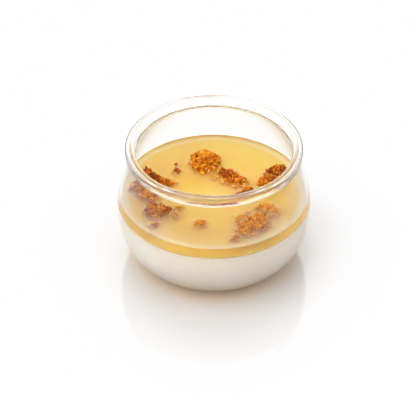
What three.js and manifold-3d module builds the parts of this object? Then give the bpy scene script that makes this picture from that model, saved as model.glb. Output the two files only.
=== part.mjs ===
// A panna cotta in its one round-bellied glass pot: set cream, a clear amber jelly on top of it,
// and six clusters of caramelised crumble that stand half sunk in the jelly.
// Millimetres, +Z up. The origin is on the glass's axis, on the plane that its foot rests on.
import * as THREE from "three";
import { mergeVertices } from "three/addons/utils/BufferGeometryUtils.js";
import Module from "manifold-3d";

const wasm = await Module();
wasm.setup();

// ---- driving dimensions --------------------------------------------------------------------

// glass, outside
const HEIGHT = 56.74; // foot plane to the top of the rim
const R_WIDE = 42.5; // widest radius of the belly
const Z_WIDE = 25.5; // height of the widest ring
const R_FOOT = 22.7; // outer radius of the flat foot
const N_LOW = 2.275; // fullness of the curve from the foot up to the widest ring
const N_UP = 1.938; // fullness of the shoulder above it
const R_NECK = 35.34; // radius that the shoulder curve reaches at Z_NECK
const Z_NECK = 53.156;
const LIP_OUT = 38.34; // outer radius of the square, soft-edged lip
const LIP_IN = 34.34; // inner radius of the lip's flat top
const LIP_DEEP = 3.9; // height of the lip, from its flat underside to the rim
const LIP_SOFT = 0.75; // how far the lip's edges are rounded off
// glass, inside
const WALL = 1.7; // wall thickness in the belly and shoulder
const Z_FLOOR = 4.5; // height of the inside floor, which is the base's thickness
const R_FLOOR = 20.5; // radius of the flat part of the inside floor
const PUNT = 0.8; // how far the middle of the foot is pushed up
const R_PUNT = 17.2; // radius of that hollow

// contents
const GAP = 0.3; // clearance between touching pieces
const Z_CREAM = 28.2; // top of the set cream
const Z_JELLY = 32.2; // flat top of the jelly
const MENISCUS = 0.7; // how far the jelly climbs the wall
const TURN = 56; // steps round the axis, a multiple of four

// Crumble clusters. Each has lobes: [x, y, length, width, angle in degrees, height over the jelly].
const SUNK = 2.7; // how deep a cluster reaches under the jelly's top
const CLUSTERS = {
  crumble_back: [[-4.0, 19.6, 11.6, 11.8, 0, 5.3]],
  crumble_left: [
    [-26.2, 5.2, 16.5, 8.2, -38, 3.4],
    [-30.2, 0.2, 14.0, 9.0, 68, 2.8],
  ],
  crumble_middle: [[9.3, 7.9, 13.4, 7.0, -33, 2.7]],
  crumble_right: [[25.6, 8.8, 15.8, 8.0, 52, 3.1]],
  crumble_front_right: [[16.4, -23.4, 13.4, 13.8, 40, 2.2]],
  crumble_front_left: [[-23.9, -15.9, 12.4, 11.0, -15, 2.9]],
};
const GRAIN = 1.95; // mean radius of a cluster's grains
const PITCH = 3.35; // distance between neighbouring grains

// ---- curves of the glass -------------------------------------------------------------------

// Outside radius of the wall at height z.
function outer(z) {
  if (z < Z_WIDE) {
    const c = Math.pow(Math.max(0, 1 - z / Z_WIDE), N_LOW / 2);
    return (
      R_FOOT +
      (R_WIDE - R_FOOT) * Math.pow(Math.sqrt(Math.max(0, 1 - c * c)), 2 / N_LOW)
    );
  }
  const u = (z - Z_WIDE) / (Z_NECK - Z_WIDE);
  return R_WIDE - (R_WIDE - R_NECK) * Math.pow(u, N_UP);
}

// A point of the inside curve from the floor (t = 0) to the widest ring (t = 1).
function innerLow(t) {
  const a = (t * Math.PI) / 2;
  return [
    R_FLOOR + (R_WIDE - WALL - R_FLOOR) * Math.pow(Math.sin(a), 2 / N_LOW),
    Z_FLOOR + (Z_WIDE - Z_FLOOR) * (1 - Math.pow(Math.cos(a), 2 / N_LOW)),
  ];
}

// Inside radius of the wall at height z.
function inner(z) {
  if (z < Z_WIDE) {
    const c = Math.pow(
      Math.max(0, 1 - (z - Z_FLOOR) / (Z_WIDE - Z_FLOOR)),
      N_LOW / 2,
    );
    return (
      R_FLOOR +
      (R_WIDE - WALL - R_FLOOR) *
        Math.pow(Math.sqrt(Math.max(0, 1 - c * c)), 2 / N_LOW)
    );
  }
  const slope = (outer(z + 0.01) - outer(z - 0.01)) / 0.02;
  return outer(z) - WALL * Math.sqrt(1 + slope * slope);
}

// ---- small helpers -------------------------------------------------------------------------

// Repeatable noise in 0..1 from whole numbers.
function noise(...keys) {
  let h = 2166136261;
  for (const k of keys) {
    h ^= Math.floor(k * 97 + 13);
    h = Math.imul(h, 16777619);
    h ^= h >>> 13;
  }
  h = Math.imul(h ^ (h >>> 15), 2246822519);
  h ^= h >>> 13;
  return (h >>> 0) / 4294967296;
}

function bare(geometry) {
  geometry.deleteAttribute("normal");
  geometry.deleteAttribute("uv");
  return mergeVertices(geometry, 1e-4);
}

function toSolid(geometry) {
  const g = bare(geometry);
  return new wasm.Manifold(
    new wasm.Mesh({
      numProp: 3,
      vertProperties: new Float32Array(g.attributes.position.array),
      triVerts: new Uint32Array(g.index.array),
    }),
  );
}

function toGeometry(solid) {
  const m = solid.getMesh();
  const g = new THREE.BufferGeometry();
  const xyz = new Float32Array(m.numVert * 3);
  for (let i = 0; i < m.numVert; i++)
    xyz.set(
      m.vertProperties.subarray(i * m.numProp, i * m.numProp + 3),
      i * 3,
    );
  g.setAttribute("position", new THREE.BufferAttribute(xyz, 3));
  g.setIndex(new THREE.BufferAttribute(new Uint32Array(m.triVerts), 1));
  g.computeVertexNormals();
  return g;
}

// A solid of revolution from [radius, height] points that run from the axis, out and up, and back to it.
function turned(points) {
  const g = new THREE.LatheGeometry(
    points.map(([r, z]) => new THREE.Vector2(r, z)),
    TURN,
  );
  g.rotateX(Math.PI / 2); // the lathe's axis is Y: stand it up along Z
  return g;
}

// ---- glass ---------------------------------------------------------------------------------

function glassProfile() {
  const p = [
    [0, PUNT],
    [R_PUNT * 0.75, PUNT * 0.8],
    [R_PUNT, PUNT * 0.25],
    [R_PUNT + 1.1, 0],
    [R_FOOT, 0],
  ];
  const low = 7;
  for (let i = 1; i <= low; i++) {
    const a = (i / low) * (Math.PI / 2);
    p.push([
      R_FOOT + (R_WIDE - R_FOOT) * Math.pow(Math.sin(a), 2 / N_LOW),
      Z_WIDE * (1 - Math.pow(Math.cos(a), 2 / N_LOW)),
    ]);
  }
  const zUnder = HEIGHT - LIP_DEEP;
  const zJoin = zUnder - 0.6; // the shoulder runs into the flat underside of the lip
  const up = 5;
  for (let i = 1; i <= up; i++) {
    const z = Z_WIDE + ((zJoin - Z_WIDE) * i) / up;
    p.push([outer(z), z]);
  }
  p.push(
    [R_NECK + 0.16, zUnder - 0.16],
    [R_NECK + 0.5, zUnder],
    [LIP_OUT - LIP_SOFT * 0.8, zUnder],
    [LIP_OUT, zUnder + LIP_SOFT * 0.8],
    [LIP_OUT, HEIGHT - LIP_SOFT],
    [LIP_OUT - LIP_SOFT * 0.3, HEIGHT - LIP_SOFT * 0.3],
    [LIP_OUT - LIP_SOFT, HEIGHT],
    [LIP_IN + LIP_SOFT, HEIGHT],
    [LIP_IN + LIP_SOFT * 0.3, HEIGHT - LIP_SOFT * 0.3],
    [LIP_IN, HEIGHT - LIP_SOFT],
    [LIP_IN - 0.1, HEIGHT - 2.1],
  );
  const zIn = zUnder - 0.44; // below the lip the inside follows the shoulder
  const down = 5;
  for (let i = 0; i <= down; i++) {
    const z = zIn + ((Z_WIDE - zIn) * i) / down;
    p.push([inner(z), z]);
  }
  const bowl = 6;
  for (let i = bowl - 1; i >= 0; i--) p.push(innerLow(i / bowl));
  p.push([0, Z_FLOOR]);
  return p;
}

// ---- contents ------------------------------------------------------------------------------

function creamProfile() {
  const p = [[0, Z_FLOOR + GAP]];
  const n = 5;
  for (let i = 0; i < n; i++) {
    const [r, z] = innerLow(i / n);
    p.push([r - GAP * 1.4, z + GAP]);
  }
  p.push([inner(Z_WIDE) - GAP - 0.05, Z_WIDE]);
  p.push([inner(Z_CREAM) - GAP - 0.05, Z_CREAM]);
  p.push([0, Z_CREAM]);
  return p;
}

function jellyProfile() {
  const z0 = Z_CREAM + GAP;
  const z1 = Z_JELLY + MENISCUS;
  const side = (z) => inner(z) - GAP - 0.05;
  return [
    [0, z0],
    [side(z0), z0],
    [side((z0 + z1) / 2), (z0 + z1) / 2],
    [side(z1), z1],
    [side(z1) - 0.7, Z_JELLY + MENISCUS * 0.38],
    [side(z1) - 2.0, Z_JELLY + MENISCUS * 0.06],
    [side(z1) - 3.4, Z_JELLY],
    [0, Z_JELLY],
  ];
}

// One grain: a rough twenty-sided lump, grown all round by `grow`.
function grain(x, y, z, r, key, grow) {
  const g = bare(new THREE.IcosahedronGeometry(1, 0));
  const at = g.attributes.position;
  const v = new THREE.Vector3();
  for (let i = 0; i < at.count; i++) {
    v.fromBufferAttribute(at, i);
    v.multiplyScalar(r * (0.84 + 0.32 * noise(key, i, 5)) + grow * 1.26);
    at.setXYZ(i, v.x, v.y, v.z);
  }
  g.applyMatrix4(
    new THREE.Matrix4()
      .makeRotationFromEuler(
        new THREE.Euler(
          6.28 * noise(key, 1),
          6.28 * noise(key, 2),
          6.28 * noise(key, 3),
        ),
      )
      .setPosition(x, y, z),
  );
  return toSolid(g);
}

// The close-packed heart of a lobe, half of it under the jelly's top.
function heart([x, y, length, width, angle, rise], key, grow) {
  const g = bare(new THREE.SphereGeometry(1, 10, 6));
  const at = g.attributes.position;
  for (let i = 0; i < at.count; i++) {
    const a = Math.atan2(at.getY(i), at.getX(i));
    const w = 1 + 0.1 * Math.sin(3 * a + key) + 0.07 * Math.sin(5 * a + 2 * key);
    const up = at.getZ(i) > 0;
    at.setXYZ(
      i,
      at.getX(i) * ((length / 2 - 0.9) * w + grow * 1.15),
      at.getY(i) * ((width / 2 - 0.9) * w + grow * 1.15),
      at.getZ(i) * ((up ? rise * 0.8 : SUNK) + grow * 1.15),
    );
  }
  g.applyMatrix4(
    new THREE.Matrix4()
      .makeRotationZ(THREE.MathUtils.degToRad(angle))
      .setPosition(x, y, Z_JELLY),
  );
  return toSolid(g);
}

// A cluster: hearts and the grains that cover them, on a jittered triangular grid over each lobe.
function cluster(lobes, key, grow) {
  const parts = [];
  lobes.forEach((lobe, n) => {
    const [x, y, length, width, angle, rise] = lobe;
    parts.push(heart(lobe, key + n, grow));
    const c = Math.cos(THREE.MathUtils.degToRad(angle));
    const s = Math.sin(THREE.MathUtils.degToRad(angle));
    const rows = Math.ceil(width / PITCH) + 1;
    const cols = Math.ceil(length / PITCH) + 1;
    for (let i = -rows; i <= rows; i++)
      for (let j = -cols; j <= cols; j++) {
        const id = (i + 40) * 100 + j + 40 + 7000 * n;
        const u =
          (j + (i % 2 ? 0.5 : 0)) * PITCH + 0.8 * (noise(key, id, 1) - 0.5);
        const v = i * PITCH * 0.866 + 0.8 * (noise(key, id, 2) - 0.5);
        const r = GRAIN * (0.72 + 0.5 * noise(key, id, 3));
        const q = Math.hypot(u / (length / 2 - r * 0.6), v / (width / 2 - r * 0.6));
        if (q > 1) continue;
        const top = rise * (1 - 0.5 * q * q * q) + 0.5 * (noise(key, id, 4) - 0.5);
        parts.push(
          grain(
            x + c * u - s * v,
            y + s * u + c * v,
            Z_JELLY + Math.max(top - r, 0.35 * r),
            r,
            key * 31 + id,
            grow,
          ),
        );
      }
  });
  return wasm.Manifold.union(parts);
}

// ---- the model -----------------------------------------------------------------------------

const glassMaterial = new THREE.MeshStandardMaterial({
  color: 0xf4f5f4,
  roughness: 0.03,
  metalness: 0,
  transparent: true,
  opacity: 0.3,
});
const creamMaterial = new THREE.MeshStandardMaterial({
  color: 0xf2ebe0,
  roughness: 0.45,
  metalness: 0,
});
const jellyMaterial = new THREE.MeshStandardMaterial({
  color: 0xecbd64,
  roughness: 0.12,
  metalness: 0,
});

const pot = new THREE.Group();
pot.name = "panna_cotta_pot";

function add(name, geometry, material) {
  const mesh = new THREE.Mesh(geometry, material);
  mesh.name = name;
  pot.add(mesh);
  return mesh;
}

add("glass", turned(glassProfile()), glassMaterial);
add("cream", turned(creamProfile()), creamMaterial);

let jelly = toSolid(turned(jellyProfile()));
Object.entries(CLUSTERS).forEach(([name, lobes], i) => {
  const key = i + 3;
  jelly = jelly.subtract(cluster(lobes, key, GAP));
  add(
    name,
    toGeometry(cluster(lobes, key, 0)),
    new THREE.MeshStandardMaterial({
      color: i === 4 ? 0xc98436 : 0xa5561c,
      roughness: 0.4,
      metalness: 0,
    }),
  );
});
add("jelly", toGeometry(jelly), jellyMaterial);

export default pot;
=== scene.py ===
"""Panna cotta in its round-bellied glass: set cream, an amber jelly layer and clusters of caramelised crumble.

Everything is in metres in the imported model's frame. Sizes below are written in millimetres and scaled once.
"""

import math

import bmesh
import bpy
import numpy as np
from mathutils import Matrix, Vector
from mathutils import noise as mnoise


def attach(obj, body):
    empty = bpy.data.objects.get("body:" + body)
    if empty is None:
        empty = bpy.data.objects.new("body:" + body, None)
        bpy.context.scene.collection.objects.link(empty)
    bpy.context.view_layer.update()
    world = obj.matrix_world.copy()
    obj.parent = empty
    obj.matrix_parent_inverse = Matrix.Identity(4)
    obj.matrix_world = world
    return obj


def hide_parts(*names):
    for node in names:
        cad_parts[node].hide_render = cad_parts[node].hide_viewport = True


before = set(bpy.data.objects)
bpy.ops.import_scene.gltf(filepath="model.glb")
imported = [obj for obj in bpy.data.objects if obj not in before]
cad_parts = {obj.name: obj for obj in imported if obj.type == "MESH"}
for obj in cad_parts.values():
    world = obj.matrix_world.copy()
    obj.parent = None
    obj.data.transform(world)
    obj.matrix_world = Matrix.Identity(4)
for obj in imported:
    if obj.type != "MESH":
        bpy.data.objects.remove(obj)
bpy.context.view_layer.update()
MM = 0.001

# ------------------------------------------------------------------------------------------
# sizes, in millimetres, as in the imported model
# ------------------------------------------------------------------------------------------
HEIGHT, R_WIDE, Z_WIDE, R_FOOT = 56.74, 42.5, 25.5, 22.7
N_LOW, N_UP, R_NECK, Z_NECK = 2.275, 1.938, 35.34, 53.156
LIP_OUT, LIP_IN, LIP_DEEP = 38.34, 34.34, 3.9
WALL, Z_FLOOR, R_FLOOR, PUNT, R_PUNT = 1.7, 4.5, 20.5, 0.8, 17.2
Z_CREAM, Z_JELLY, MENISCUS = 28.34, 32.2, 0.72
FRONT_DARK = 0.76
INTO_WALL = 0.24  # how far what fills the glass reaches into its wall
# the glass's painted shade and reflections: a near-black outline under the lip where it is seen edge on, and
# dark rings on its top
EDGE_R, EDGE_Z, EDGE_F = (37.2, 37.8), (53.0, 53.6), (0.3, 0.6)
EDGE_PAINTED_SHADE = (0.06, 0.045, 0.035, 1)
TOP_RING_PAINTED_REFLECTION = (0.3, 0.22, 0.15, 1)


def outer(z):
    z = np.asarray(z, float)
    c = np.clip(1 - z / Z_WIDE, 0, 1) ** (N_LOW / 2)
    low = R_FOOT + (R_WIDE - R_FOOT) * np.sqrt(np.clip(1 - c * c, 0, 1)) ** (2 / N_LOW)
    u = np.clip((z - Z_WIDE) / (Z_NECK - Z_WIDE), 0, 2)
    return np.where(z < Z_WIDE, low, R_WIDE - (R_WIDE - R_NECK) * u**N_UP)


def inner(z):
    z = np.asarray(z, float)
    c = np.clip(1 - (z - Z_FLOOR) / (Z_WIDE - Z_FLOOR), 0, 1) ** (N_LOW / 2)
    low = R_FLOOR + (R_WIDE - WALL - R_FLOOR) * np.sqrt(np.clip(1 - c * c, 0, 1)) ** (
        2 / N_LOW
    )
    slope = (outer(z + 0.01) - outer(z - 0.01)) / 0.02
    return np.where(z < Z_WIDE, low, outer(z) - WALL * np.sqrt(1 + slope * slope))


def inner_low(t):
    a = t * math.pi / 2
    return (
        R_FLOOR + (R_WIDE - WALL - R_FLOOR) * math.sin(a) ** (2 / N_LOW),
        Z_FLOOR + (Z_WIDE - Z_FLOOR) * (1 - math.cos(a) ** (2 / N_LOW)),
    )


# ------------------------------------------------------------------------------------------
# helpers
# ------------------------------------------------------------------------------------------
def link(name, mesh, material=None, smooth=True):
    ob = bpy.data.objects.new(name, mesh)
    bpy.context.scene.collection.objects.link(ob)
    if material is not None:
        mesh.materials.append(material)
    if smooth:
        mesh.polygons.foreach_set("use_smooth", np.ones(len(mesh.polygons), bool))
    mesh.update()
    return ob


def lathe(name, profile, steps, material, wobble=None):
    """A closed solid of revolution. The profile runs from the axis, out and round, and back to it."""
    prof = np.array(profile, float)
    a = np.linspace(0, 2 * math.pi, steps, endpoint=False)
    verts, faces = [], []
    ring = []
    for i, (r, z) in enumerate(prof):
        if r < 1e-9:
            ring.append((len(verts), 1))
            verts.append((0.0, 0.0, z))
        else:
            ring.append((len(verts), steps))
            rr = np.full(steps, r)
            zz = np.full(steps, z)
            if wobble is not None:
                rr, zz = wobble(rr, zz, a)
            verts.extend(zip(rr * np.cos(a), rr * np.sin(a), zz))
    for (s0, n0), (s1, n1) in zip(ring, ring[1:]):
        for k in range(steps):
            k1 = (k + 1) % steps
            if n0 == 1 and n1 == 1:
                continue
            if n0 == 1:
                faces.append((s0, s1 + k1, s1 + k))
            elif n1 == 1:
                faces.append((s0 + k, s0 + k1, s1))
            else:
                faces.append((s0 + k, s0 + k1, s1 + k1, s1 + k))
    mesh = bpy.data.meshes.new(name)
    mesh.from_pydata([Vector(v) * MM for v in verts], [], faces)
    outward(mesh)
    return link(name, mesh, material)


def outward(mesh):
    bm = bmesh.new()
    bm.from_mesh(mesh)
    bmesh.ops.recalc_face_normals(bm, faces=bm.faces)
    if bm.calc_volume(signed=True) < 0:
        bmesh.ops.reverse_faces(bm, faces=bm.faces)
    bm.to_mesh(mesh)
    bm.free()


def corners_cut(points, times=4):
    """Rounds a polyline by cutting its corners again and again; its ends stay."""
    p = list(points)
    for _ in range(times):
        q = [p[0]]
        for a, b in zip(p, p[1:]):
            q.append((0.75 * a[0] + 0.25 * b[0], 0.75 * a[1] + 0.25 * b[1]))
            q.append((0.25 * a[0] + 0.75 * b[0], 0.25 * a[1] + 0.75 * b[1]))
        p = q + [p[-1]]
    return p


# ------------------------------------------------------------------------------------------
# materials
# ------------------------------------------------------------------------------------------
def srgb(r, g, b):
    def one(c):
        c /= 255
        return c / 12.92 if c <= 0.04045 else ((c + 0.055) / 1.055) ** 2.4

    return (one(r), one(g), one(b), 1.0)


def new_material(name):
    m = bpy.data.materials.new(name)
    m.use_nodes = True
    nt = m.node_tree
    nt.nodes.clear()
    out = nt.nodes.new("ShaderNodeOutputMaterial")
    out.location = (700, 0)
    p = nt.nodes.new("ShaderNodeBsdfPrincipled")
    p.location = (400, 0)
    nt.links.new(p.outputs[0], out.inputs["Surface"])
    return m, nt, p, out


def node(nt, kind, x=0, y=0, **values):
    n = nt.nodes.new(kind)
    n.location = (x, y)
    for k, v in values.items():
        if k.startswith("_"):
            setattr(n, k[1:], v)
        else:
            n.inputs[k].default_value = v
    return n


def coords(nt, x=-900, y=0):
    return nt.nodes.new("ShaderNodeTexCoord").outputs["Object"]


def noise_tex(nt, vec, scale, detail=3.0, rough=0.55, x=-600, y=0):
    n = node(nt, "ShaderNodeTexNoise", x, y)
    n.inputs["Scale"].default_value = scale
    n.inputs["Detail"].default_value = detail
    n.inputs["Roughness"].default_value = rough
    nt.links.new(vec, n.inputs["Vector"])
    return n.outputs["Fac"]


def ramp(nt, fac, stops, x=-300, y=0):
    n = node(nt, "ShaderNodeValToRGB", x, y)
    e = n.color_ramp.elements
    e[0].position, e[0].color = stops[0]
    e[1].position, e[1].color = stops[-1]
    for pos, col in stops[1:-1]:
        s = e.new(pos)
        s.color = col
    nt.links.new(fac, n.inputs["Fac"])
    return n.outputs["Color"]


def bump(nt, p, height, strength, distance, x=100, y=-300):
    b = node(nt, "ShaderNodeBump", x, y)
    b.inputs["Strength"].default_value = strength
    b.inputs["Distance"].default_value = distance
    nt.links.new(height, b.inputs["Height"])
    nt.links.new(b.outputs["Normal"], p.inputs["Normal"])
    return b


def glass_material():
    m, nt, p, out = new_material("clear_glass")
    # clear, greyer and browner where the wall is seen edge on, most of all over the dessert: painted shade,
    # with a little of the glass's own faint tint
    edge = node(nt, "ShaderNodeLayerWeight", -500, 200, Blend=0.5)
    col = ramp(
        nt,
        edge.outputs["Facing"],
        [
            (0.0, (0.972, 0.977, 0.98, 1)),
            (0.55, (0.96, 0.955, 0.95, 1)),
            (1.0, (0.85, 0.80, 0.75, 1)),
        ],
    )
    empty = ramp(
        nt,
        edge.outputs["Facing"],
        [
            (0.0, (0.91, 0.91, 0.915, 1)),
            (0.35, (0.89, 0.885, 0.88, 1)),
            (0.6, (0.77, 0.75, 0.72, 1)),
            (0.8, (0.39, 0.36, 0.325, 1)),
            (1.0, (0.30, 0.27, 0.24, 1)),
        ],
        -300,
        300,
    )
    # and painted reflections in thin rings along the lip: dark lines standing in for the darker surroundings
    # its curved glass bends into view
    flat = node(nt, "ShaderNodeVectorMath", -900, 0, _operation="MULTIPLY")
    nt.links.new(coords(nt), flat.inputs[0])
    flat.inputs[1].default_value = (1, 1, 0)
    radius = node(nt, "ShaderNodeVectorMath", -700, 0, _operation="LENGTH")
    nt.links.new(flat.outputs[0], radius.inputs[0])
    split = node(nt, "ShaderNodeSeparateXYZ", -700, -200)
    nt.links.new(coords(nt), split.inputs[0])

    def rise_of(sock, a, b, y):
        n = node(nt, "ShaderNodeMapRange", -500, y, _interpolation_type="SMOOTHSTEP")
        nt.links.new(sock, n.inputs["Value"])
        n.inputs["From Min"].default_value = a
        n.inputs["From Max"].default_value = b
        return n.outputs["Result"]

    def painted_shade(base, tint, *masks):
        mask = masks[0]
        for other in masks[1:]:
            n = node(nt, "ShaderNodeMath", -300, -100, _operation="MULTIPLY")
            nt.links.new(mask, n.inputs[0])
            nt.links.new(other, n.inputs[1])
            mask = n.outputs[0]
        mix = node(nt, "ShaderNodeMix", 100, 100, _data_type="RGBA", _blend_type="MULTIPLY")
        nt.links.new(mask, mix.inputs[0])
        nt.links.new(base, mix.inputs[6])
        if isinstance(tint, tuple):
            mix.inputs[7].default_value = tint
        else:
            nt.links.new(tint, mix.inputs[7])
        return mix.outputs[2]

    z, r = split.outputs["Z"], radius.outputs["Value"]
    # painted shade: a near-black outline under the lip's outer edge, where the glass is seen edge on
    col = painted_shade(
        col,
        EDGE_PAINTED_SHADE,
        rise_of(r, EDGE_R[0] * MM, EDGE_R[1] * MM, 0),
        rise_of(z, EDGE_Z[0] * MM, EDGE_Z[1] * MM, -200),
        rise_of(edge.outputs["Facing"], EDGE_F[0], EDGE_F[1], -300),
    )
    # painted reflection: a dark brown ring round the lip's top
    col = painted_shade(
        col,
        TOP_RING_PAINTED_REFLECTION,
        rise_of(r, 35.4 * MM, 35.8 * MM, -400),
        rise_of(r, 36.8 * MM, 36.4 * MM, -600),
        rise_of(z, 55.9 * MM, 56.3 * MM, -800),
    )
    # painted reflection: a grey ring at the outer edge of the lip's top
    col = painted_shade(
        col,
        (0.45, 0.43, 0.41, 1),
        rise_of(r, 36.9 * MM, 37.3 * MM, -900),
        rise_of(z, 55.9 * MM, 56.3 * MM, -800),
    )
    # painted shade over the dessert: the upper glass greyer, and dark brown where it is seen edge on
    col = painted_shade(
        col,
        empty,
        rise_of(z, 33.0 * MM, 35.0 * MM, -1000),
        rise_of(z, 53.0 * MM, 51.5 * MM, -1200),
    )
    nt.links.new(col, p.inputs["Base Color"])
    p.inputs["Transmission Weight"].default_value = 1.0
    p.inputs["Roughness"].default_value = 0.0
    p.inputs["IOR"].default_value = 1.5
    # the faint, slow waviness of blown glass
    v = coords(nt)
    bump(nt, p, noise_tex(nt, v, 95.0, 1.0, 0.4), 0.25, 0.00012)
    return m


def cream_material():
    m, nt, p, out = new_material("set_cream")
    v = coords(nt)
    big = noise_tex(nt, v, 60.0, 2.0, 0.5)
    col = ramp(
        nt,
        big,
        [(0.3, (0.985, 0.868, 0.768, 1)), (0.7, (0.99, 0.883, 0.793, 1))],
    )
    nt.links.new(col, p.inputs["Base Color"])
    p.inputs["Roughness"].default_value = 0.42
    p.inputs["IOR"].default_value = 1.4
    p.inputs["Subsurface Weight"].default_value = 1.0
    p.inputs["Subsurface Radius"].default_value = (1.0, 0.75, 0.5)
    p.inputs["Subsurface Scale"].default_value = 0.013
    bump(nt, p, noise_tex(nt, v, 900.0, 2.0, 0.5), 0.12, 0.00004)
    return m


def jelly_material():
    m, nt, p, out = new_material("amber_jelly")
    v = coords(nt)
    big = noise_tex(nt, v, 45.0, 3.0, 0.55)
    col = ramp(
        nt,
        big,
        [(0.3, (0.85, 0.572, 0.038, 1)), (0.7, (0.875, 0.617, 0.06, 1))],
    )
    # deeper amber round the crumble: partly syrup drawn out of it, partly painted shadow of the crumble in the
    # jelly
    soak = node(nt, "ShaderNodeAttribute", -600, 300, _attribute_name="soak").outputs["Fac"]
    mix = node(nt, "ShaderNodeMix", 100, 100, _data_type="RGBA")
    nt.links.new(soak, mix.inputs[0])
    nt.links.new(col, mix.inputs[6])
    mix.inputs[7].default_value = (0.86, 0.45, 0.010, 1)
    # and paler in a band where it climbs the wall: painted reflection of the bright sky on the meniscus
    rim = node(nt, "ShaderNodeAttribute", -600, 500, _attribute_name="rim").outputs["Fac"]
    pale = node(nt, "ShaderNodeMix", 250, 100, _data_type="RGBA")
    nt.links.new(rim, pale.inputs[0])
    nt.links.new(mix.outputs[2], pale.inputs[6])
    pale.inputs[7].default_value = (0.95, 0.86, 0.62, 1)
    # and a warmer, deeper gold down its side: painted shade standing in for the long way of jelly the side is
    # seen through
    flank = node(nt, "ShaderNodeAttribute", -600, 700, _attribute_name="side").outputs["Fac"]
    warm = node(nt, "ShaderNodeMix", 300, 300, _data_type="RGBA")
    nt.links.new(flank, warm.inputs[0])
    nt.links.new(pale.outputs[2], warm.inputs[6])
    warm.inputs[7].default_value = (1.0, 0.63, 0.045, 1)
    nt.links.new(warm.outputs[2], p.inputs["Base Color"])
    p.inputs["Roughness"].default_value = 0.12
    p.inputs["IOR"].default_value = 1.36
    p.inputs["Specular IOR Level"].default_value = 0.3
    p.inputs["Transmission Weight"].default_value = 0.85
    p.inputs["Subsurface Weight"].default_value = 1.0
    p.inputs["Subsurface Radius"].default_value = (1.0, 0.6, 0.25)
    p.inputs["Subsurface Scale"].default_value = 0.0012
    bump(nt, p, noise_tex(nt, v, 260.0, 2.0, 0.5), 0.2, 0.00005)
    vol = node(nt, "ShaderNodeVolumeAbsorption", 400, -400)
    vol.inputs["Color"].default_value = (0.99, 0.76, 0.28, 1)
    vol.inputs["Density"].default_value = 48.0
    nt.links.new(vol.outputs[0], out.inputs["Volume"])
    return m


def crumble_material():
    m, nt, p, out = new_material("caramel_crumble")
    v = coords(nt)
    tone = node(nt, "ShaderNodeAttribute", -900, 300, _attribute_name="tone").outputs["Fac"]
    fine = noise_tex(nt, v, 2200.0, 3.0, 0.6)
    mix = node(nt, "ShaderNodeMath", -450, 200, _operation="MULTIPLY_ADD")
    nt.links.new(fine, mix.inputs[0])
    mix.inputs[1].default_value = 0.40
    mix.inputs[2].default_value = -0.20
    add = node(nt, "ShaderNodeMath", -300, 200, _operation="ADD", _use_clamp=True)
    nt.links.new(mix.outputs[0], add.inputs[0])
    nt.links.new(tone, add.inputs[1])
    col = ramp(
        nt,
        add.outputs[0],
        [
            (0.0, (0.09, 0.010, 0.0004, 1)),
            (0.22, (0.28, 0.041, 0.0012, 1)),
            (0.45, (0.50, 0.142, 0.004, 1)),
            (0.70, (0.70, 0.285, 0.014, 1)),
            (1.0, (0.81, 0.41, 0.042, 1)),
        ],
        -100,
        200,
    )
    nt.links.new(col, p.inputs["Base Color"])
    r = ramp(nt, fine, [(0.35, (0.25,) * 3 + (1,)), (0.65, (0.6,) * 3 + (1,))], -100, -100)
    nt.links.new(r, p.inputs["Roughness"])
    p.inputs["IOR"].default_value = 1.45
    p.inputs["Specular IOR Level"].default_value = 0.15
    p.inputs["Subsurface Weight"].default_value = 0.15
    p.inputs["Subsurface Radius"].default_value = (1.0, 0.4, 0.1)
    p.inputs["Subsurface Scale"].default_value = 0.0005
    bump(nt, p, noise_tex(nt, v, 5200.0, 2.0, 0.6), 0.5, 0.00008)
    return m


def floor_material():
    """Pale glossy table top, with a painted warm shadow round the foot, dimmer and beige far away."""
    m, nt, p, out = new_material("studio_floor")
    v = coords(nt)

    def distance(centre, wobble, y):
        off = node(nt, "ShaderNodeVectorMath", -900, y, _operation="DISTANCE")
        nt.links.new(v, off.inputs[0])
        off.inputs[1].default_value = centre
        wob = node(nt, "ShaderNodeMath", -500, y, _operation="MULTIPLY_ADD")
        nt.links.new(noise_tex(nt, v, 60.0, 2.0, 0.5, -700, y), wob.inputs[0])
        wob.inputs[1].default_value = wobble
        nt.links.new(off.outputs["Value"], wob.inputs[2])
        return wob.outputs[0]

    # painted contact shadow: a darker tan ring under and round the foot, darker greys out to about 55 mm,
    # standing in for the pot's shadow and the warm light it throws
    near = ramp(
        nt,
        distance((0, 0, 0), 0.003, 200),
        [
            (0.0, (0.52, 0.41, 0.305, 1)),
            (0.034, (0.52, 0.41, 0.305, 1)),
            (0.043, (0.435, 0.415, 0.40, 1)),
            (0.055, (0.44, 0.438, 0.442, 1)),
            (0.095, (0.57, 0.57, 0.575, 1)),
            (1.0, (0.57, 0.57, 0.575, 1)),
        ],
    )
    far = ramp(
        nt,
        distance((0, 0.16, 0), 0.003, -200),
        [(0.0, (1, 1, 1, 1)), (0.26, (1, 1, 1, 1)), (0.40, (0.63, 0.59, 0.55, 1))],
    )
    mix = node(nt, "ShaderNodeMix", 0, 0, _data_type="RGBA", _blend_type="MULTIPLY")
    mix.inputs[0].default_value = 1.0
    nt.links.new(near, mix.inputs[6])
    nt.links.new(far, mix.inputs[7])
    nt.links.new(mix.outputs[2], p.inputs["Base Color"])
    p.inputs["Roughness"].default_value = 0.08
    p.inputs["IOR"].default_value = 1.5
    return m


MAT_GLASS = glass_material()
MAT_CREAM = cream_material()
MAT_JELLY = jelly_material()
MAT_CRUMBLE = crumble_material()
MAT_FLOOR = floor_material()

# ------------------------------------------------------------------------------------------
# camera, lights, floor
# ------------------------------------------------------------------------------------------
CAM_DISTANCE, CAM_RISE, CAM_PITCH, CAM_YAW = 733.863, 40.128, 38.775, -0.26
CAM_FOCAL_PX = 1628.698


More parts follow.
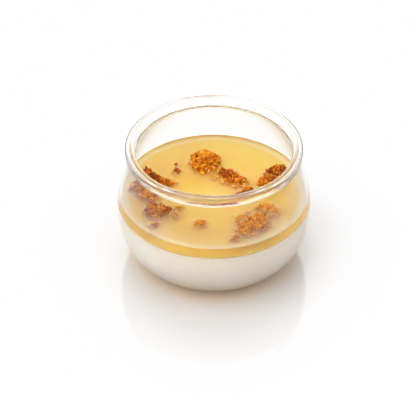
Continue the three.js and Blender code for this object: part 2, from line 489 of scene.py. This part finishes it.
def make_camera():
    e, t, y = (math.radians(k) for k in (CAM_RISE, CAM_PITCH, CAM_YAW))
    place = Vector((0, -CAM_DISTANCE * math.cos(e), CAM_DISTANCE * math.sin(e)))
    ahead = Vector((math.sin(y) * math.cos(t), math.cos(y) * math.cos(t), -math.sin(t)))
    right = ahead.cross(Vector((0, 0, 1))).normalized()
    up = right.cross(ahead)
    cam = bpy.data.cameras.new("camera")
    cam.sensor_width = 36.0
    cam.sensor_fit = "AUTO"
    cam.lens = 36.0 * CAM_FOCAL_PX / 416.0
    cam.clip_start, cam.clip_end = 0.01, 50.0
    ob = bpy.data.objects.new("camera", cam)
    bpy.context.scene.collection.objects.link(ob)
    ob.matrix_world = (
        Matrix.Translation(place * MM)
        @ Matrix((right, up, -ahead)).transposed().to_4x4()
    )
    bpy.context.scene.camera = ob


def make_world():
    """A white light tent: a wide soft glow behind, one at the left and a weaker one at the right.

    Low down at the front, where the photographer stands, the tent is open and darker.
    """
    w = bpy.data.worlds.new("studio")
    bpy.context.scene.world = w
    w.use_nodes = True
    nt = w.node_tree
    nt.nodes.clear()
    out = nt.nodes.new("ShaderNodeOutputWorld")
    tc = nt.nodes.new("ShaderNodeTexCoord")
    sep = nt.nodes.new("ShaderNodeSeparateXYZ")
    nt.links.new(tc.outputs["Generated"], sep.inputs[0])

    def mapped(sock, a, b, c, d):
        n = nt.nodes.new("ShaderNodeMapRange")
        n.interpolation_type = "SMOOTHSTEP"
        for k, v in zip(("From Min", "From Max", "To Min", "To Max"), (a, b, c, d)):
            n.inputs[k].default_value = v
        nt.links.new(sock, n.inputs["Value"])
        return n.outputs["Result"]

    def glow(towards, start, end, colour, strength):
        t = Vector(towards).normalized()
        dot = node(nt, "ShaderNodeVectorMath", _operation="DOT_PRODUCT")
        nt.links.new(tc.outputs["Generated"], dot.inputs[0])
        dot.inputs[1].default_value = t
        bg = nt.nodes.new("ShaderNodeBackground")
        bg.inputs["Color"].default_value = (*colour, 1)
        nt.links.new(
            mapped(dot.outputs["Value"], start, end, 0.0, strength), bg.inputs["Strength"]
        )
        return bg.outputs[0]

    def both(a, b):
        add = nt.nodes.new("ShaderNodeAddShader")
        nt.links.new(a, add.inputs[0])
        nt.links.new(b, add.inputs[1])
        return add.outputs[0]

    rise = mapped(sep.outputs["Z"], 0.06, 0.26, 0.0, 1.0)
    base = nt.nodes.new("ShaderNodeBackground")
    front = mapped(sep.outputs["Y"], -0.60, -0.05, 1.0, 0.0)
    low = mapped(sep.outputs["Z"], 0.10, 0.45, FRONT_DARK, 0.0)
    dark = node(nt, "ShaderNodeMath", _operation="MULTIPLY")
    nt.links.new(front, dark.inputs[0])
    nt.links.new(low, dark.inputs[1])
    open_front = node(nt, "ShaderNodeMath", _operation="SUBTRACT")
    open_front.inputs[0].default_value = 1.0
    nt.links.new(dark.outputs[0], open_front.inputs[1])
    strength = node(nt, "ShaderNodeMath", _operation="MULTIPLY")
    nt.links.new(mapped(rise, 0.0, 1.0, 0.71, 0.98), strength.inputs[0])
    nt.links.new(open_front.outputs[0], strength.inputs[1])
    nt.links.new(strength.outputs[0], base.inputs["Strength"])
    col = ramp(nt, rise, [(0.0, (1.0, 0.93, 0.86, 1)), (1.0, (1.0, 0.99, 0.98, 1))])
    nt.links.new(col, base.inputs["Color"])
    sky = both(base.outputs[0], glow((-0.72, -0.42, 0.92), 0.74, 0.96, (1, 0.99, 0.97), 3.8))
    sky = both(sky, glow((-0.05, 0.77, 0.64), 0.80, 0.96, (1, 1, 1), 2.85))
    sky = both(sky, glow((0.80, -0.42, 0.88), 0.78, 0.96, (1, 0.98, 0.95), 1.6))
    nt.links.new(sky, out.inputs[0])


def make_stage():
    mesh = bpy.data.meshes.new("floor")
    s = 4.0
    mesh.from_pydata(
        [(-s, -s, 0), (s, -s, 0), (s, s, 0), (-s, s, 0)], [], [(0, 1, 2, 3)]
    )
    floor = link("floor", mesh, MAT_FLOOR, smooth=False)
    floor.location.z = -0.00002
    make_world()


make_camera()
make_stage()

sc = bpy.context.scene
sc.cycles.max_bounces = 32
sc.cycles.transmission_bounces = 32
sc.cycles.glossy_bounces = 32
sc.cycles.diffuse_bounces = 12
sc.view_settings.view_transform = "Standard"
sc.view_settings.look = "None"
sc.view_settings.exposure = 0.0
sc.view_settings.gamma = 1.0


def film_curve(points, white):
    """A camera's soft shoulder: straight in the lower tones, easing into white at `white`."""
    sc.view_settings.use_curve_mapping = True
    cm = sc.view_settings.curve_mapping
    cm.tone = "STANDARD"
    cm.white_level = (white,) * 3
    c = cm.curves[3]
    c.points[0].location = (0.0, 0.0)
    c.points[1].location = (1.0, 1.0)
    for x, y in points:
        c.points.new(x / white, y)
    cm.update()


film_curve(
    [(0.7, 0.7), (0.85, 0.845), (1.0, 0.945), (1.1, 0.98), (1.25, 0.995)], 1.5
)


# ------------------------------------------------------------------------------------------
# glass
# ------------------------------------------------------------------------------------------
def glass_profile():
    p = []
    foot = R_PUNT + 1.1
    for k in range(14):  # the pushed-up middle of the foot
        r = foot * k / 14
        p.append((r, PUNT * (1 - (r / foot) ** 3.2)))
    p.append((foot, 0.0))
    for k in range(1, 4):
        p.append((foot + (R_FOOT - foot) * k / 3, 0.0))
    for k in range(1, 57):
        a = k / 56 * math.pi / 2
        p.append(
            (
                R_FOOT + (R_WIDE - R_FOOT) * math.sin(a) ** (2 / N_LOW),
                Z_WIDE * (1 - math.cos(a) ** (2 / N_LOW)),
            )
        )
    z_out, z_in = 52.2, 52.4
    for k in range(1, 46):
        z = Z_WIDE + (z_out - Z_WIDE) * k / 45
        p.append((float(outer(z)), z))
    under = HEIGHT - LIP_DEEP
    lip = corners_cut(
        [
            (float(outer(z_out)), z_out),
            (R_NECK, under - 0.1),
            (R_NECK + 0.56, under),
            (LIP_OUT, under),
            (LIP_OUT, HEIGHT - LIP_DEEP / 2),
            (LIP_OUT, HEIGHT),
            ((LIP_OUT + LIP_IN) / 2, HEIGHT),
            (LIP_IN, HEIGHT),
            (LIP_IN - 0.08, HEIGHT - 2.0),
            (LIP_IN - 0.2, 53.9),
            (33.25, 53.5),
            (float(inner(z_in)), z_in),
        ]
    )
    p += lip[1:-1]
    for k in range(41):
        z = z_in + (Z_WIDE - z_in) * k / 40
        p.append((float(inner(z)), z))
    for k in range(47, -1, -1):
        p.append(inner_low(k / 48))
    for k in range(1, 8):
        p.append((R_FLOOR * (1 - k / 8), Z_FLOOR))
    p.append((0.0, Z_FLOOR))
    return p


glass = lathe("glass_pot", glass_profile(), 200, MAT_GLASS)
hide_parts("glass")
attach(glass, "root")


# ------------------------------------------------------------------------------------------
# cream
# ------------------------------------------------------------------------------------------
def cream_profile():
    p = [(0.0, Z_FLOOR - 0.2)]
    for k in range(1, 5):
        p.append((R_FLOOR * k / 4, Z_FLOOR - 0.2))
    for k in range(1, 49):
        t = k / 48
        r, z = inner_low(t)
        r0, z0 = inner_low(max(0.0, t - 0.01))
        r1, z1 = inner_low(min(1.0, t + 0.01))
        d = math.hypot(r1 - r0, z1 - z0)
        n = ((z1 - z0) / d, -(r1 - r0) / d)
        p.append((r + n[0] * 0.2, z + n[1] * 0.2))
    for k in range(1, 7):
        z = Z_WIDE + (Z_CREAM - Z_WIDE) * k / 6
        p.append((float(inner(z)) + 0.2, z))
    for k in range(1, 20):
        r = (float(inner(Z_CREAM)) + 0.2) * (1 - k / 20)
        p.append((r, Z_CREAM))
    p.append((0.0, Z_CREAM))
    return p


cream = lathe("cream_fill", cream_profile(), 160, MAT_CREAM)
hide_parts("cream")
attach(cream, "root")

# ------------------------------------------------------------------------------------------
# crumble
# ------------------------------------------------------------------------------------------
SUNK = 2.5
DARK, BROWN, GOLD, PALE = 0.30, 0.42, 0.64, 0.80
# name: lumps, a lump being (x, y, half length, half width, angle, height over the jelly, tone)
CLUSTERS = {
    "crumble_back": [
        (-4.0, 19.9, 5.0, 5.0, 0, 5.8, 0.60),
        (-4.0, 18.9, 4.9, 5.2, 0, 3.2, 0.74),
    ],
    "crumble_left": [
        (-29.4, 10.4, 3.5, 2.6, -40, 3.6, DARK),
        (-25.6, 6.8, 2.6, 2.2, -30, 3.1, DARK),
        (-21.7, 5.3, 2.6, 1.6, -40, 2.5, 0.50),
        (-18.4, 4.6, 1.4, 1.0, 0, 1.9, 0.58),
        (-31.6, 2.6, 4.4, 3.8, 68, 3.0, 0.55),
        (-28.8, -3.0, 4.0, 3.3, -20, 2.4, 0.63),
    ],
    "crumble_middle": [
        (6.4, 10.9, 3.3, 2.4, -30, 2.9, 0.36),
        (10.9, 7.4, 3.2, 2.0, -33, 2.5, 0.48),
        (7.6, 5.9, 1.9, 1.1, -15, 1.6, 0.40),
        (8.6, 6.0, 4.6, 2.6, -25, 0.2, PALE),
    ],
    "crumble_right": [
        (27.4, 12.8, 4.3, 2.7, 60, 3.3, BROWN),
        (24.0, 6.9, 4.1, 2.9, 50, 2.8, 0.47),
        (28.0, 8.4, 2.2, 2.1, 0, 2.2, DARK),
        (24.6, 4.6, 3.6, 2.4, 35, 0.5, PALE),
    ],
    "crumble_front_right": [
        (17.3, -23.2, 5.6, 4.3, 38, 2.3, 0.70),
        (13.4, -27.4, 2.7, 2.6, 0, 1.6, 0.72),
        (20.4, -18.9, 2.4, 2.3, 60, 2.1, 0.66),
    ],
    "crumble_front_left": [
        (-24.8, -14.2, 4.2, 3.6, -10, 3.0, 0.59),
        (-20.4, -13.6, 1.5, 1.3, 0, 2.0, 0.58),
        (-24.2, -18.6, 1.4, 1.7, 0, 1.4, 0.60),
    ],
}
LOOSE = [
    (14.6, -1.2, 2.6, 1.3, 38, 2.6, BROWN),
    (11.4, -3.4, 1.8, 1.0, 30, 2.0, BROWN),
    (-16.6, 13.6, 1.1, 1.2, 0, 1.7, DARK),
    (-16.9, 18.2, 0.5, 0.7, 0, 1.1, BROWN),
    (-6.6, -4.1, 1.1, 0.8, 0, 1.1, BROWN),
    (1.4, 8.7, 1.4, 0.7, 20, 0.9, GOLD),
    (-5.4, -22.9, 1.8, 1.6, 10, 1.6, 0.78),
    (-25.4, -24.2, 1.4, 1.1, 20, 1.3, 0.58),
    (-15.2, -12.4, 1.5, 1.0, 35, 1.2, PALE),
    (-16.1, -17.0, 0.9, 1.3, 0, 1.0, GOLD),
    (10.9, -19.8, 1.4, 1.7, 0, 1.6, 0.78),
    (13.0, -16.5, 2.0, 0.8, 40, 1.2, 0.78),
    (18.7, -12.8, 0.8, 1.0, 0, 1.2, 0.78),
    (22.3, -12.0, 2.0, 1.9, 0, 1.9, 0.78),
    (25.4, -13.9, 1.6, 1.7, 0, 1.8, 0.78),
    (26.2, -17.3, 0.9, 0.8, 0, 1.0, GOLD),
    (9.2, -32.4, 1.7, 1.2, 30, 1.6, GOLD),
]


def sphere_of(subdivisions):
    bm = bmesh.new()
    bmesh.ops.create_icosphere(bm, subdivisions=subdivisions, radius=1.0)
    v = np.array([x.co for x in bm.verts])
    f = np.array([[q.index for q in x.verts] for x in bm.faces])
    bm.free()
    return v, f


GRAIN_V, GRAIN_F = sphere_of(2)
HEART_V, HEART_F = sphere_of(4)


def grain_shapes(count, seed):
    """Angular sugar grains: balls with random flats cut on them."""
    rng = np.random.RandomState(seed)
    shapes = []
    for _ in range(count):
        v = GRAIN_V.copy()
        for _ in range(9):
            n = rng.normal(size=3)
            n /= np.linalg.norm(n)
            over = np.clip(v @ n - rng.uniform(0.45, 0.85), 0, None)
            v -= over[:, None] * n
        v *= rng.uniform(0.8, 1.25, 3)
        shapes.append(v + rng.normal(0, 0.035, v.shape))
    return shapes


SHAPES = grain_shapes(40, 3)


def grains_of(lumps, seed, size):
    """Grains over the outside of the lumps: rows of (x, y, z, r, tone)."""
    rng = np.random.RandomState(seed)
    kept, cell = [], {}
    for number, (lx, ly, a, b, angle, rise, tone) in enumerate(lumps):
        c, s = math.cos(math.radians(angle)), math.sin(math.radians(angle))
        ph = rng.uniform(0, 6.28, 4)
        small = min(1.0, 0.45 + min(a, b) / 4.5)
        for _ in range(int(a * b * 260) + 60):
            t = rng.uniform(0, 2 * math.pi)
            q = math.sqrt(rng.rand())
            side = rng.rand() < 0.34
            if side:
                q = 1.0
            edge = (
                1
                + 0.10 * math.sin(3 * t + ph[0])
                + 0.10 * math.sin(5 * t + ph[1])
                + 0.09 * math.sin(8 * t + ph[2])
                + 0.07 * math.sin(13 * t + ph[3])
            )
            u, v = q * edge * math.cos(t) * a, q * edge * math.sin(t) * b
            x, y = lx + c * u - s * v, ly + s * u + c * v
            r = rng.uniform(*size) * small * (1.35 if rng.rand() < 0.1 else 1)
            lumpy = mnoise.noise(Vector((x, y, number * 7.0)) * 0.62)
            top = rise * (1 - 0.45 * q**3.5) + 1.0 * lumpy - 0.3
            top = min(top, rise)
            if side:
                z = rng.uniform(-SUNK * 0.8, max(0.3, top - 0.3))
                pull = 1 - 0.10 * max(0.0, -z) / SUNK
                if rng.rand() < 0.4:  # here and there a grain sticks out
                    pull += rng.uniform(0.3, 1.0) / max(a, b)
                x, y = lx + (x - lx) * pull, ly + (y - ly) * pull
            else:
                z = top - r - abs(rng.normal(0, 0.18))
            z += Z_JELLY
            key = (int(x // 1.6), int(y // 1.6), int(z // 1.6))
            near = [
                o
                for dx in (-1, 0, 1)
                for dy in (-1, 0, 1)
                for dz in (-1, 0, 1)
                for o in cell.get((key[0] + dx, key[1] + dy, key[2] + dz), ())
            ]
            if any(
                (x - o[0]) ** 2 + (y - o[1]) ** 2 + (z - o[2]) ** 2
                < (0.60 * (r + o[3])) ** 2
                for o in near
            ):
                continue
            depth = rise + Z_JELLY - z
            patch = mnoise.noise(Vector((x, y, number * 5.0 + 2.5)) * 0.55)
            # painted shade: grains lower in their lump, further below its top, are darker
            shade = tone + rng.normal(0, 0.13) + 0.32 * patch - 0.06 * min(2.0, depth)
            wet = min(1.0, max(0.0, (Z_JELLY + 0.5 - z) / 0.9))
            shade += wet * max(0.0, 0.78 - shade) * 0.85
            row = (x, y, z, r, shade)
            kept.append(row)
            cell.setdefault(key, []).append(row)
    return kept


def crumble(name, lumps, seed, size):
    """One piece: angular grains heaped on rough hearts painted darker, as shade in the gaps between grains,
    with a tone on each vertex.
    """
    rng = np.random.RandomState(seed + 500)
    grains = grains_of(lumps, seed, size)
    vs, fs, tones, n = [], [], [], 0
    for x, y, z, r, tone in grains:
        turn = np.array(Matrix.Rotation(rng.uniform(0, 6.28), 3, Vector(rng.normal(size=3))))
        v = (SHAPES[rng.randint(len(SHAPES))] * r) @ turn.T + (x, y, z)
        vs.append(v)
        fs.append(GRAIN_F + n)
        tones.append(np.full(len(v), tone))
        n += len(v)
    for x, y, a, b, angle, rise, tone in lumps:
        if min(a, b) < 1.5:
            continue
        c, s = math.cos(math.radians(angle)), math.sin(math.radians(angle))
        rough = np.array([mnoise.noise(Vector(p) * 2.6 + Vector((x, y, 0))) for p in HEART_V])
        v = HEART_V * (1 + 0.16 * rough)[:, None]
        flat = np.sign(v[:, 2]) * np.abs(v[:, 2]) ** 0.6
        v = np.column_stack(
            (
                v[:, 0] * (a - 1.0),
                v[:, 1] * (b - 1.0),
                np.where(flat > 0, flat * max(0.2, rise - 1.35), flat * SUNK * 0.9),
            )
        )
        v = v @ np.array([[c, -s, 0], [s, c, 0], [0, 0, 1]]).T + (x, y, Z_JELLY)
        wet = np.clip((Z_JELLY + 0.4 - v[:, 2]) / 0.9, 0, 1)
        vs.append(v)
        fs.append(HEART_F + n)
        # the hearts painted darker than the grains on them: painted shade in the gaps between grains, paler
        # where wet
        tones.append((tone - 0.22) * (1 - wet) + 0.55 * wet)
        n += len(v)
    mesh = bpy.data.meshes.new(name)
    mesh.from_pydata((np.concatenate(vs) * MM).tolist(), [], np.concatenate(fs).tolist())
    at = mesh.attributes.new("tone", "FLOAT", "POINT")
    at.data.foreach_set("value", np.clip(np.concatenate(tones), 0, 1).astype(np.float32))
    return link(name, mesh, MAT_CRUMBLE, smooth=False), grains


ALL_GRAINS = []
for number, (name, lumps) in enumerate(CLUSTERS.items()):
    ob, grains = crumble(name + "_grains", lumps, 11 + number, (0.42, 0.76))
    ALL_GRAINS += grains
    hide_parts(name)
    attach(ob, "root")

ob, grains = crumble("loose_crumbs", LOOSE, 40, (0.40, 0.70))
ALL_GRAINS += grains
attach(ob, "root")


# ------------------------------------------------------------------------------------------
# jelly
# ------------------------------------------------------------------------------------------
def jelly_mesh():
    steps, rings = 240, 120
    z_edge = Z_JELLY + MENISCUS
    r_edge = float(inner(z_edge)) + INTO_WALL
    a = np.linspace(0, 2 * math.pi, steps, endpoint=False)
    q = np.linspace(0, 1, rings + 1)[1:]
    q = 1 - (1 - q) ** 1.12  # a little closer together at the wall
    rad = r_edge * q
    rr, aa = np.meshgrid(rad, a, indexing="ij")
    x, y = rr * np.cos(aa), rr * np.sin(aa)
    d_wall = np.clip(r_edge - INTO_WALL - rr, 0, None)
    z = Z_JELLY + MENISCUS * np.exp(-d_wall / 0.95)
    crossing = [
        (g[0], g[1], math.sqrt(g[3] ** 2 - (g[2] - Z_JELLY) ** 2))
        for g in ALL_GRAINS
        if abs(g[2] - Z_JELLY) < g[3]
    ]
    near = np.full(x.shape, 99.0)
    for gx, gy, gr in crossing:
        near = np.minimum(near, np.hypot(x - gx, y - gy) - gr)
    z += 0.42 * np.exp(-np.clip(near, 0, None) / 0.7)
    for i in range(x.shape[0]):
        for j in range(x.shape[1]):
            z[i, j] += 0.012 * mnoise.noise(Vector((x[i, j], y[i, j], 3.0)) * 0.16)
    # deeper amber round each lump, shifted towards the front: partly syrup stain, partly painted shadow of the
    # crumble
    soak = np.zeros(x.shape)
    for lx, ly, la, lb, angle, rise, tone in sum(CLUSTERS.values(), LOOSE):
        c, s = math.cos(math.radians(angle)), math.sin(math.radians(angle))
        thin = min(la, lb)
        ex, ey = x - lx, y - (ly - 0.4 * thin)
        wide = 0.9 + 0.25 * thin
        q = np.hypot((c * ex + s * ey) / (la + wide), (-s * ex + c * ey) / (lb + wide))
        fade = np.clip((1.12 - q) / 0.5, 0, 1)
        soak = np.maximum(soak, fade * fade * (3 - 2 * fade) * min(1.0, thin / 2.4) ** 2)
    verts = [(0.0, 0.0, Z_JELLY)]
    verts += list(zip(x.ravel(), y.ravel(), z.ravel()))
    faces = [(0, 1 + j, 1 + (j + 1) % steps) for j in range(steps)]

    def band(s0, s1):
        for j in range(steps):
            k = (j + 1) % steps
            faces.append((s0 + j, s1 + j, s1 + k, s0 + k))

    for i in range(rings - 1):
        band(1 + i * steps, 1 + (i + 1) * steps)
    last = 1 + (rings - 1) * steps
    levels = 14
    for k in range(1, levels + 1):
        zz = z_edge + (Z_CREAM - 0.03 - z_edge) * k / levels
        r = float(inner(zz)) + INTO_WALL
        start = len(verts)
        verts += [(r * math.cos(t), r * math.sin(t), zz) for t in a]
        band(last, start)
        last = start
    for k in range(1, 20):
        r = (float(inner(Z_CREAM)) + INTO_WALL) * (1 - k / 20)
        start = len(verts)
        verts += [(r * math.cos(t), r * math.sin(t), Z_CREAM - 0.03) for t in a]
        band(last, start)
        last = start
    c = len(verts)
    verts.append((0.0, 0.0, Z_CREAM - 0.03))
    faces += [(last + j, c, last + (j + 1) % steps) for j in range(steps)]
    mesh = bpy.data.meshes.new("jelly_layer")
    mesh.from_pydata([Vector(v) * MM for v in verts], [], faces)
    outward(mesh)
    # painted reflection on the meniscus: the jelly paler within a few millimetres of the wall
    climb = np.clip((3.6 - d_wall) / 1.4, 0, 1)
    for key, field, rest in (("soak", soak, 0), ("rim", 0.8 * climb, 0), ("side", 0 * soak, 1)):
        values = np.full(len(verts), rest, np.float32)
        values[0] = 0
        values[1 : 1 + field.size] = field.ravel()
        mesh.attributes.new(key, "FLOAT", "POINT").data.foreach_set("value", values)
    return mesh


jelly = link("jelly_layer", jelly_mesh(), MAT_JELLY)
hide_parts("jelly")
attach(jelly, "root")
